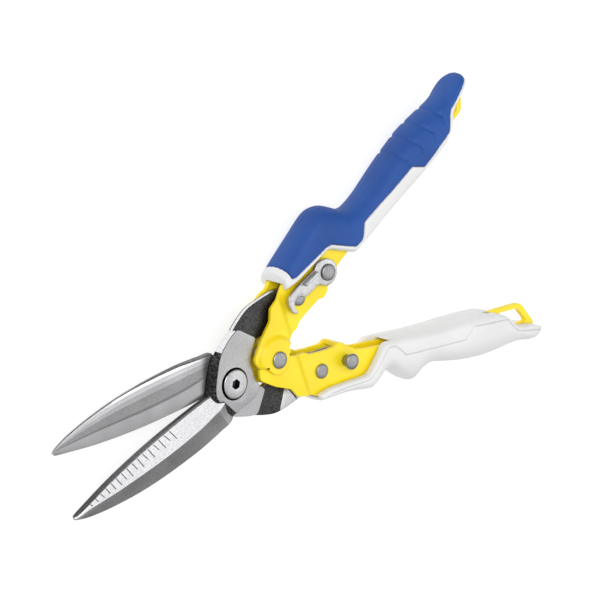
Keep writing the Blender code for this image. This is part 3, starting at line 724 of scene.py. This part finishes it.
def build_blade(name, flipped, looks):
    materials = [looks[look] for look in BLADE_LOOKS]
    forms = [build_blade_form(BLADE_LEAN if flipped else -BLADE_LEAN), boss_form(), tang_form()]
    pad = ((PAD_R - 0.9, -TANG_TOP), (PAD_R - 0.6, -TANG_TOP + 0.3), (PAD_R - 0.6, 1.5))
    forms.append(turned(pad, PIVOT_P))
    if flipped:
        forms = [flip_side(form) for form in forms]
    parts = [piece(name + "_part", form, materials) for form in forms]
    blade = parts[0]
    for other in parts[1:]:
        combine(blade, other, "UNION")
    shank = turned(((PIVOT_HOLE_R, -9.0), (PIVOT_HOLE_R, 9.0)), (0.0, 0.0))
    combine(blade, piece("cut", shank, materials), "DIFFERENCE")
    if not flipped:
        seat = turned(((6.45, 2.3), (6.45, 4.05), (6.85, 4.45), (6.85, 9.0)), (0.0, 0.0), 72)
        combine(blade, piece("cut", seat, materials), "DIFFERENCE")
    side = -1.0 if flipped else 1.0
    link = (PIVOT_P[0], side * PIVOT_P[1])
    hole = turned(((LINK_HOLE_R, -9.0), (LINK_HOLE_R, 9.0)), link, 40)
    combine(blade, piece("cut", hole, materials), "DIFFERENCE")
    sort_grounds(blade, flipped)
    blade.name = name + "_steel"
    return finish_piece(blade, name, "forged_steel", name)


def station_at(x):
    """The blade's section values at one place along it."""
    stations = smooth_line(BLADE_STATIONS, 8)
    for before, after in zip(stations, stations[1:]):
        if after[0] <= x <= before[0]:
            share = (before[0] - x) / (before[0] - after[0])
            return tuple(a + (b - a) * share for a, b in zip(before, after))
    return stations[-1]


def build_ruler(looks):
    """Sixteen etched marks an eighth of an inch apart, longer at every second one."""
    shape = bmesh.new()
    rows = 8
    for index in range(RULER_MARKS):
        start = -35.6 - index * RULER_PITCH * 0.98
        slant = 1.9 * (1.0 - index / 22.0)
        begin = station_at(start)
        length = min(5.0 if index % 2 == 0 else 3.7, abs(begin[3] - begin[2]) * 0.72)
        rings = []
        for row in range(rows + 1):
            x = start + slant * row / rows
            station = station_at(x)
            share = 0.04 + length * row / rows / abs(station[3] - station[2])
            y, z = ruler_point(station, share)
            rings.append(((x - 0.2, y, z - 0.12), (x + 0.2, y, z - 0.12),
                          (x + 0.2, y, z + 0.06), (x - 0.2, y, z + 0.06)))
        join_rings(shape, rings)
    bmesh.ops.recalc_face_normals(shape, faces=shape.faces)
    turn = Matrix.Rotation(math.radians(-BLADE_LEAN), 4, "Z")
    bmesh.ops.transform(shape, matrix=turn, verts=shape.verts)
    marks = piece("front_blade_ruler_marks", shape, [looks["ink"]])
    return finish_piece(marks, "front_blade", "dark_steel")


# ---- pivot ----
def build_pivot(looks):
    profile = ((3.3, -9.0), (3.9, -8.4), (3.9, 2.6), (6.0, 2.6), (6.15, 2.75), (6.15, 4.75),
               (6.02, 5.02), (5.75, 5.22), (5.4, 5.3))
    materials = [looks["screw"], looks["dark"], looks["wall"]]
    head = piece("pivot_screw_body", turned(profile, (0.0, 0.0), 80), materials)
    socket = turned(((1.95, 2.9), (1.95, 5.0), (2.25, 5.35)), (0.0, 0.0), 6)
    combine(head, piece("cut", socket, [looks["dark"]]), "DIFFERENCE")
    for face in head.data.polygons:
        reach = math.hypot(face.center.x, face.center.y) / MM
        height = face.center.z / MM - LIFT
        # inside the hex socket and round the outer rim of the head, down in its seat, the faces are painted
        # near black as shade; the socket floor is painted dark grey as shade
        in_socket = reach < 2.3 and 2.7 < height < 5.25
        at_rim = reach > 5.9 and height > 0.0
        face.material_index = 1 if in_socket or at_rim else 0
        if in_socket and face.normal.z > 0.9:
            face.material_index = 2
    finish_piece(head, "front_blade", "dark_steel", "pivot_screw")
    ring = washer_form(PIVOT_HOLE_R, 7.4, -5.5, -4.7, (0.0, 0.0))
    washer = piece("pivot_washer_plate", ring, [looks["zinc"]])
    finish_piece(washer, "front_blade", "zinc_steel", "pivot_washer")
    corner = 11.0 / math.sqrt(3.0)
    turns = [math.radians(60.0 * number) for number in range(6)]
    hexagon = [(corner * math.cos(turn), corner * math.sin(turn)) for turn in turns]
    block = rounded_prism(round_corners(hexagon, 0.5, 3), -8.3, -5.8, 0.35)
    nut = piece("pivot_nut_body", block, [looks["dark"]])
    hole = turned(((4.6, -9.5), (4.2, -7.9), (4.2, -5.0)), (0.0, 0.0), 48)
    combine(nut, piece("cut", hole, [looks["dark"]]), "DIFFERENCE")
    finish_piece(nut, "front_blade", "dark_steel", "pivot_nut")


def washer_form(inner, outer, bottom, top, centre, sides=72):
    """A flat ring with softened rims."""
    soft = min(0.15, (top - bottom) / 3.0)
    corners = ((inner, bottom), (outer - soft, bottom), (outer, bottom + soft), (outer, top - soft),
               (outer - soft, top), (inner + soft, top), (inner, top - soft))
    shape = bmesh.new()
    rings = []
    for radius, height in corners:
        rings.append([shape.verts.new((
            centre[0] + radius * math.cos(2 * math.pi * index / sides),
            centre[1] + radius * math.sin(2 * math.pi * index / sides), height)) for index in range(sides)])
    for which in range(len(corners)):
        low, high = rings[which], rings[(which + 1) % len(corners)]
        for index in range(sides):
            after = (index + 1) % sides
            shape.faces.new((low[index], low[after], high[after], high[index]))
    bmesh.ops.recalc_face_normals(shape, faces=shape.faces)
    return shape


# ---- handle channels ----
def ease(value):
    value = min(max(value, 0.0), 1.0)
    return value * value * (3.0 - 2.0 * value)


def flange(raised_eye):
    """One pressed flange with its joggle and its eye, as sheet of even thickness."""
    tail = [(28.5, 2.6)]
    if raised_eye:
        tail += arc(PIVOT_Q, EYE_R + 0.9, 16.0, 0.0, 3) + arc(PIVOT_Q, EYE_R, -6.0, -174.0, 44)
    else:
        tail += arc(PIVOT_Q, DISC_R, 14.0, -177.0, 48)
    outline = list(FLANGE_FRONT) + list(CHANNEL_OUTER) + list(CHANNEL_INNER) + tail
    outline = round_corners(outline, 0.9, 3)
    shape = rounded_prism(outline, REAR_IN, REAR_IN + SHEET, 0.28)
    slice_grid(shape, JOGGLE[0], JOGGLE[1], 0.4, 0)
    if raised_eye:
        slice_grid(shape, PIVOT_Q[0] - 10.6, JOGGLE[0] - 0.4, 0.55, 0)
        slice_grid(shape, -6.0, 11.0, 0.55, 1)
    for vert in shape.verts:
        share = (JOGGLE[1] - vert.co.x) / (JOGGLE[1] - JOGGLE[0])
        lift = FRONT_STEP * ease(share)
        if raised_eye:
            reach = math.hypot(vert.co.x - PIVOT_Q[0], vert.co.y - PIVOT_Q[1])
            sector = ease((vert.co.y + 0.9) / 2.2)
            lift += EYE_STEP * ease((10.3 - reach) / 2.2) * max(sector, 1.0 if reach < 7.4 else 0.0)
        vert.co.z += lift
    return shape


def build_channel(name, body, flipped, looks):
    forms = [flange(True), mirror_z(flange(False))]
    along = smooth_line(list(CHANNEL_OUTER)[1:], 4)
    web = offset_line(along, -0.12) + offset_line(along, -1.7)[::-1]
    forms.append(rounded_prism(web, -REAR_IN - 0.9, REAR_IN + 0.9, 0.1, 1))
    forms.append(rounded_prism(STOP_TAB, -REAR_IN - 0.9, REAR_IN + 0.9, 0.1, 1))
    if flipped:
        forms = [flip_side(form) for form in forms]
    parts = [piece(name + "_part", form, [looks["yellow"]]) for form in forms]
    channel = parts[0]
    for other in parts[1:]:
        combine(channel, other, "UNION")
    side = -1.0 if flipped else 1.0
    latch_pin = (STUD_S, 2.0, 1.0) if flipped else (LATCH_L, RIVET_HOLE_R, 1.0)
    link_pin = ((PIVOT_P[0], side * PIVOT_P[1]), 2.7, -12.0)
    for centre, radius, bottom in ((PIVOT_Q, RIVET_HOLE_R, -12.0), link_pin, latch_pin):
        hole = turned(((radius, bottom), (radius, 12.0)), centre, 40)
        combine(channel, piece("cut", hole, [looks["yellow"]]), "DIFFERENCE")
    channel.name = name + "_sheet"
    return finish_piece(channel, body, "yellow_powder_coat", name)


# ---- rivets, stud and spring ----
def domed_profile(shank, head, seat, top, steps=6):
    """Half of a rivet, from its middle up to the crown of its head."""
    points = [(shank, 0.0), (shank, seat), (head - 0.08, seat), (head, seat + 0.08)]
    wall = seat + (top - seat) * 0.3
    points.append((head, wall))
    for step in range(1, steps + 1):
        turn = math.pi / 2.0 * step / steps
        radius = head * 0.34 + head * 0.66 * math.cos(turn)
        points.append((radius, wall + (top - wall) * math.sin(turn)))
    return points


def two_headed(shank, head, seat, top, centre):
    half = domed_profile(shank, head, seat, top)
    whole = [(radius, -height) for radius, height in half[::-1][:-1]] + half[1:]
    return turned(whole, centre, 56)


def build_fastenings(looks):
    lower_p = (PIVOT_P[0], -PIVOT_P[1])
    link_rivet = (2.4, 3.08, 5.45, 6.4)
    plan = (
        ("handle_rivet", "upper_handle", (1.9, 3.6, 8.6, 9.6), PIVOT_Q),
        ("upper_link_rivet", "upper_handle", link_rivet, PIVOT_P),
        ("lower_link_rivet", "lower_handle", link_rivet, lower_p),
    )
    for name, body, sizes, centre in plan:
        rivet = piece(name + "_steel", two_headed(*sizes, centre), [looks["rivet"]])
        finish_piece(rivet, body, "rivet_steel", name)
    tail = [(2.9, 2.3), (2.9, 3.1), (1.9, 3.1)]
    crown = domed_profile(1.9, 3.5, 8.7, 9.8)[1:]
    latch_rivet = piece("latch_rivet_steel", turned(tail + crown, LATCH_L, 56), [looks["rivet"]])
    finish_piece(latch_rivet, "upper_handle", "rivet_steel", "latch_rivet")
    foot = [(2.7, 2.3), (2.7, 3.1), (1.7, 3.1), (1.7, 5.45), (2.35, 5.45), (2.45, 5.55)]
    crown = domed_profile(2.45, 3.3, 8.7, 9.9)[1:]
    stud = piece("latch_stud_steel", turned(foot + crown, STUD_S, 56), [looks["rivet"]])
    finish_piece(stud, "lower_handle", "rivet_steel", "latch_stud")
    tube = washer_form(RIVET_HOLE_R, 3.2, -4.3, 4.3, PIVOT_Q, 40)
    sleeve = piece("spring_sleeve_tube", tube, [looks["zinc"]])
    finish_piece(sleeve, "upper_handle", "zinc_steel", "spring_sleeve")
    ring = washer_form(RIVET_HOLE_R, 4.4, 5.5, 6.35, LATCH_L)
    washer = piece("latch_washer_ring", ring, [looks["spring"]])
    finish_piece(washer, "upper_handle", "spring_steel", "latch_spring_washer")


def build_spring(looks):
    """Torsion spring: a leg to each channel and the coils between them."""
    coil, wire, turns, rise = 4.2, 0.7, 3.4222, 4.6
    begin = math.radians(104.0)
    finish = begin + 2.0 * math.pi * turns
    points = []
    for step in (30.0, 20.0, 10.0):
        points.append((PIVOT_Q[0] + coil * math.cos(begin) + step * math.sin(begin),
                       coil * math.sin(begin) - step * math.cos(begin), -rise / 2.0))
    steps = 150
    for index in range(steps + 1):
        turn = begin + (finish - begin) * index / steps
        height = -rise / 2.0 + rise * index / steps
        points.append((PIVOT_Q[0] + coil * math.cos(turn), coil * math.sin(turn), height))
    for step in (10.0, 20.0, 30.0):
        points.append((PIVOT_Q[0] + coil * math.cos(finish) - step * math.sin(finish),
                       coil * math.sin(finish) + step * math.cos(finish), rise / 2.0))
    path = [Vector(point) for point in points]
    rings = []
    up = Vector((0.0, 0.0, 1.0))
    for index, point in enumerate(path):
        along = (path[min(index + 1, len(path) - 1)] - path[max(index - 1, 0)]).normalized()
        across = along.cross(up).normalized()
        over = across.cross(along).normalized()
        turns = [math.pi * side / 6 for side in range(12)]
        rings.append([
            tuple(point + across * wire * math.cos(turn) + over * wire * math.sin(turn)) for turn in turns])
    shape = bmesh.new()
    join_rings(shape, rings)
    bmesh.ops.recalc_face_normals(shape, faces=shape.faces)
    spring = piece("handle_spring_wire", shape, [looks["spring"]])
    finish_piece(spring, "upper_handle", "spring_steel", "handle_spring")


# ---- latch ----
def build_latch(looks):
    turn = math.radians(HOOK_ANGLE)
    throat = (LATCH_L[0] + HOOK_REACH * math.cos(turn), LATCH_L[1] + HOOK_REACH * math.sin(turn))
    outline = list(LATCH_OUTLINE)
    outline += arc(throat, THROAT_R, HOOK_ANGLE - 172.0, HOOK_ANGLE - 5.0, 14)
    outline += arc(LATCH_L, HOOK_REACH + THROAT_R, HOOK_ANGLE + 3.0, HOOK_ANGLE + 6.0, 3)
    outline = round_corners(outline + list(LATCH_FAR), 1.4, 4)
    plate = rounded_prism(outline, LATCH_LOW, LATCH_HIGH, 0.3)
    latch = piece("latch_hook_plate", plate, [looks["stamped"]])
    tab = ((43.8, 22.2), (51.6, 23.9), (51.4, 25.3), (43.6, 23.7))
    tab_form = rounded_prism(round_corners(tab, 0.5, 3), LATCH_LOW + 0.4, 10.6, 0.3)
    combine(latch, piece("tab", tab_form, [looks["stamped"]]), "UNION")
    hole = turned(((RIVET_HOLE_R, 4.0), (RIVET_HOLE_R, 12.0)), LATCH_L, 40)
    combine(latch, piece("cut", hole, [looks["stamped"]]), "DIFFERENCE")
    finish_piece(latch, "latch", "stamped_steel", "latch_hook")


# ---- grips ----
def grip_form(outer_path, inset):
    """Smooth grip body, shrunk on its outside by the inset."""
    stations = []
    for inner, outer, half in zip(INNER_PATH, outer_path, GRIP_HALF):
        a, b = Vector(inner), Vector(outer)
        b = b - (b - a).normalized() * (inset + 0.2)
        stations.append((a.x, a.y, b.x, b.y, min(half, 9.66) - inset * 0.95))
    if inset > 0.0:
        first, second = stations[0], stations[1]
        share = inset / math.hypot(second[0] - first[0], second[1] - first[1])
        stations[0] = tuple(p + (q - p) * share for p, q in zip(first, second))
        stations = stations[:-1]
    section = smooth_line(GRIP_SECTION, 3)
    rings = []
    for ax, ay, bx, by, half in smooth_line(stations, 5):
        top = [(ax + (bx - ax) * share, ay + (by - ay) * share, half * height) for share, height in section]
        rings.append(top + [(x, y, -z) for x, y, z in top[::-1]])
    shape = bmesh.new()
    join_rings(shape, rings)
    return face_outward(shape)


def slab(outline, bottom, top):
    return rounded_prism(outline, bottom, top, 0.01, 1)


def press_grooves(made):
    """Press the four curved grip grooves into the back of a cover."""
    for vert in made.data.vertices:
        x, y, z = vert.co.x / MM, vert.co.y / MM, vert.co.z / MM - LIFT
        for (ax, ay), (bx, by) in GRIP_GROOVES:
            length = math.hypot(bx - ax, by - ay)
            ux, uy = (bx - ax) / length, (by - ay) / length
            along = (x - ax) * ux + (y - ay) * uy
            bow = 1.1 * math.sin(math.pi * min(max(along / length, 0.0), 1.0))
            step = 1.6 * ease((along - length + 2.6) / 1.2)
            across = (x - ax) * uy - (y - ay) * ux + bow - step
            if along < length and abs(across) < 1.0:
                depth = 0.62 * (1.0 - abs(across)) * ease((length - along) / 0.8)
                vert.co -= vert.normal * depth * MM


def build_grip(side_name, body, outer_path, flipped, core_look, cover_look, slots):
    def form(shape):
        return piece("form", flip_side(shape) if flipped else shape, [core_look])

    seam = 0.02 if flipped else 0.10
    core = form(grip_form(outer_path, 0.0))
    beyond = offset_line(PARTING, -seam) + [(160.0, 75.0), (39.2, 75.0)]
    combine(core, form(slab(beyond, -15.0, 15.0)), "DIFFERENCE")
    combine(core, form(grip_form(outer_path, SKIN + GAP)), "UNION")
    slot_line = [(30.0, 27.2)] + offset_line(list(CHANNEL_OUTER), GAP + 0.1)
    slot_line[-1] = (131.9, 49.0)
    slot_line += list(SLOT_FLOOR)
    combine(core, form(slab(slot_line, -GRIP_SLOT, GRIP_SLOT)), "DIFFERENCE")
    pocket = ((131.0, 41.0), (133.0, 36.0), (157.0, 44.0), (157.0, 56.0), (152.4, 56.9),
              (150.7, 58.0), (143.7, 56.6), (135.7, 52.5), (131.0, 48.7))
    combine(core, form(slab(pocket, -LOOP_HALF - GAP, LOOP_HALF + GAP)), "DIFFERENCE")
    hollow = offset_line(INNER_PATH[9:18], 0.55) + [(132.0, 20.0), (78.0, 5.0)]
    combine(core, form(slab(hollow, -3.4, 3.4)), "DIFFERENCE")
    soften(core)
    core.name = side_name + "_grip_core_moulding"
    finish_piece(core, body, slots[0], side_name + "_grip_core")
    cover = form(grip_form(outer_path, 0.0))
    keep = offset_line(PARTING, seam) + [(160.0, 75.0), (39.4, 75.0)]
    combine(cover, form(slab(keep, -14.0, 14.0)), "INTERSECT")
    combine(cover, form(grip_form(outer_path, SKIN)), "DIFFERENCE")
    soften(cover, None if flipped else press_grooves)
    cover.data.materials.clear()
    cover.data.materials.append(cover_look)
    cover.name = side_name + "_grip_cover_moulding"
    finish_piece(cover, body, slots[1], side_name + "_grip_cover")


def build_hang_loop(side_name, body, flipped, looks):
    plate = rounded_prism(round_corners(LOOP_OUTLINE, 1.6, 5), -LOOP_HALF, LOOP_HALF, 0.35)
    hole = rounded_prism(round_corners(LOOP_HOLE, 1.2, 5), -5.0, 5.0, 0.1, 1)
    if flipped:
        plate, hole = flip_side(plate), flip_side(hole)
    loop = piece(side_name + "_hang_loop_plate", plate, [looks["yellow"]])
    combine(loop, piece("cut", hole, [looks["yellow"]]), "DIFFERENCE")
    finish_piece(loop, body, "yellow_powder_coat", side_name + "_hang_loop")


# ---- stage ----
def build_stage():
    low, high = CAD_BOUNDS
    floor_shape = bmesh.new()
    bmesh.ops.create_grid(floor_shape, x_segments=1, y_segments=1, size=4.0)
    mesh = bpy.data.meshes.new("floor")
    floor_shape.to_mesh(mesh)
    floor_shape.free()
    floor = bpy.data.objects.new("floor", mesh)
    floor.location = (0.0, 0.0, low[2] - 0.0004)
    bpy.context.scene.collection.objects.link(floor)
    pale = bpy.data.materials.new("pale_floor")
    pale.use_nodes = True
    shader = pale.node_tree.nodes["Principled BSDF"]
    shader.inputs["Base Color"].default_value = (0.32, 0.32, 0.32, 1.0)
    shader.inputs["Roughness"].default_value = 0.9
    shader.inputs["Emission Color"].default_value = (1.0, 1.0, 1.0, 1.0)
    shader.inputs["Emission Strength"].default_value = 0.77
    mesh.materials.append(pale)
    world = bpy.data.worlds.new("studio")
    bpy.context.scene.world = world
    world.use_nodes = True
    tree = world.node_tree
    direction = tree.nodes.new("ShaderNodeTexCoord")
    split = tree.nodes.new("ShaderNodeSeparateXYZ")
    tree.links.new(direction.outputs["Generated"], split.inputs["Vector"])
    glow = tree.nodes.new("ShaderNodeMapRange")
    glow.inputs["From Min"].default_value = 0.45
    glow.inputs["From Max"].default_value = 0.95
    glow.inputs["To Min"].default_value = 0.22
    glow.inputs["To Max"].default_value = 1.15
    tree.links.new(split.outputs["Z"], glow.inputs["Value"])
    tree.links.new(glow.outputs["Result"], tree.nodes["Background"].inputs["Strength"])
    tree.nodes["Background"].inputs["Color"].default_value = (1.0, 1.0, 1.0, 1.0)
    middle = Vector((0.046, 0.013, 0.0))
    for name, place, size, power in (
            ("key", (-0.55, 0.75, 1.1), 0.7, 9.0),
            ("fill", (0.9, -0.5, 0.9), 0.8, 2.5)):
        lamp = bpy.data.lights.new(name, "AREA")
        lamp.size = size
        lamp.energy = power
        holder = bpy.data.objects.new(name, lamp)
        holder.location = middle + Vector(place)
        holder.rotation_euler = (-Vector(place)).to_track_quat("-Z", "Y").to_euler()
        bpy.context.scene.collection.objects.link(holder)


def build_camera():
    """The view from above the blade end, turned so that the blades point down to the left."""
    tilt, lean, spin = (math.radians(angle) for angle in VIEW_ANGLES)
    tool_z = Vector((math.sin(tilt) * math.cos(lean), math.sin(tilt) * math.sin(lean), math.cos(tilt)))
    level = Vector((-math.sin(lean), math.cos(lean), 0.0))
    tool_x = level * math.cos(spin) + level.cross(tool_z) * math.sin(spin)
    tool_y = tool_z.cross(tool_x)
    right, up, back = (Vector((tool_x[row], tool_y[row], tool_z[row])) for row in range(3))
    lens = bpy.data.cameras.new("camera")
    lens.sensor_width = 36.0
    lens.lens = 36.0 * VIEW_DISTANCE / VIEW_WIDTH
    lens.clip_start = 0.1
    lens.clip_end = 60.0
    camera = bpy.data.objects.new("camera", lens)
    turn = Matrix((right, up, back)).transposed().to_4x4()
    aim = Vector((VIEW_AIM[0] * MM, VIEW_AIM[1] * MM, LIFT * MM))
    camera.matrix_world = Matrix.Translation(aim + back * VIEW_DISTANCE) @ turn
    bpy.context.scene.collection.objects.link(camera)
    bpy.context.scene.camera = camera
    bpy.context.scene.view_settings.view_transform = "Standard"


def main():
    build_camera()
    build_stage()
    looks = make_looks()
    build_blade("front_blade", False, looks)
    build_blade("rear_blade", True, looks)
    build_ruler(looks)
    build_pivot(looks)
    build_channel("upper_handle_channel", "upper_handle", False, looks)
    build_channel("lower_handle_channel", "lower_handle", True, looks)
    build_fastenings(looks)
    build_spring(looks)
    build_latch(looks)
    build_grip("upper", "upper_handle", UPPER_PATH, False, looks["white"], looks["blue"],
               ("white_moulding", "blue_soft_grip"))
    build_grip("lower", "lower_handle", LOWER_PATH, True, looks["white"], looks["white"],
               ("white_moulding", "white_moulding"))
    build_hang_loop("upper", "upper_handle", False, looks)
    build_hang_loop("lower", "lower_handle", True, looks)


main()
